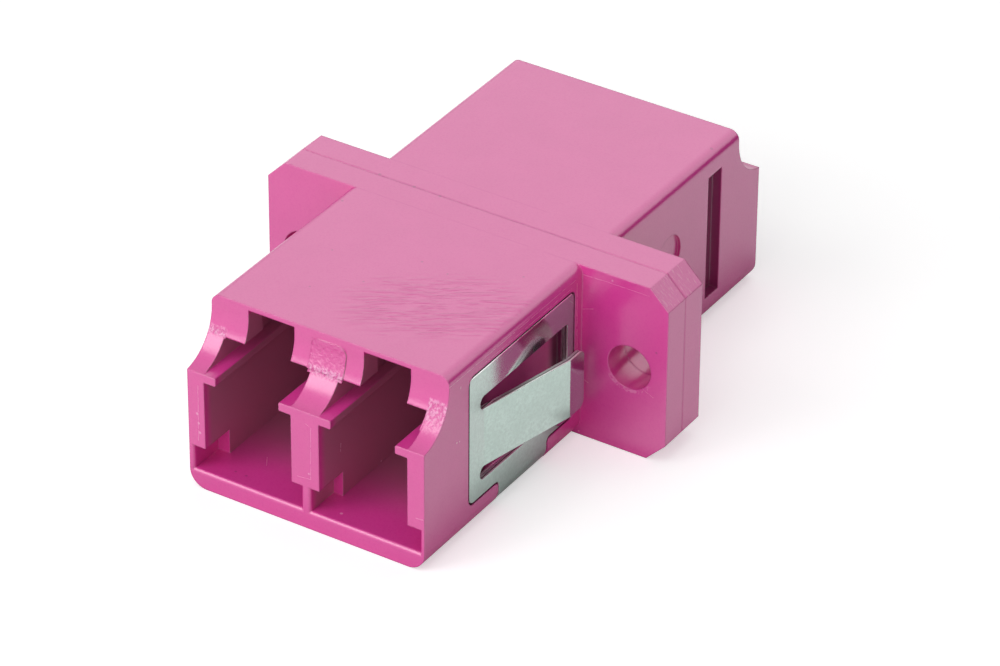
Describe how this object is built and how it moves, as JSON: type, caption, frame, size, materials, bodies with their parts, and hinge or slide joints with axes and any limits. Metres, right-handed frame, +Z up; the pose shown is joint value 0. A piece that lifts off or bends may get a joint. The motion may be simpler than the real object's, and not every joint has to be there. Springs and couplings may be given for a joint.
{
  "type": "duplex fibre optic adapter",
  "caption": "Pink duplex small form-factor fibre optic adapter with a screw flange, scooped mouths, open ports and a sprung steel panel clip.",
  "frame": {"origin": "centre of the weld plane between the two moulded halves, which is also the centre of the bounding box", "axes": "+X across the two ports, +Y from the front mouth, beside the panel clip, to the rear mouth, +Z up, away from the clip's strap"},
  "size_m": [0.022, 0.0294, 0.0094],
  "materials": {
    "pink_plastic": "satin moulded thermoplastic with faint flow marks",
    "spring_steel": "bright rolled stainless strip",
    "zirconia": "ground and polished"
  },
  "bodies": {
    "root": {"front_housing": "pink_plastic", "rear_housing": "pink_plastic", "panel_clip": "spring_steel", "split_sleeve_left": "zirconia", "split_sleeve_right": "zirconia"}
  },
  "joints": []
}
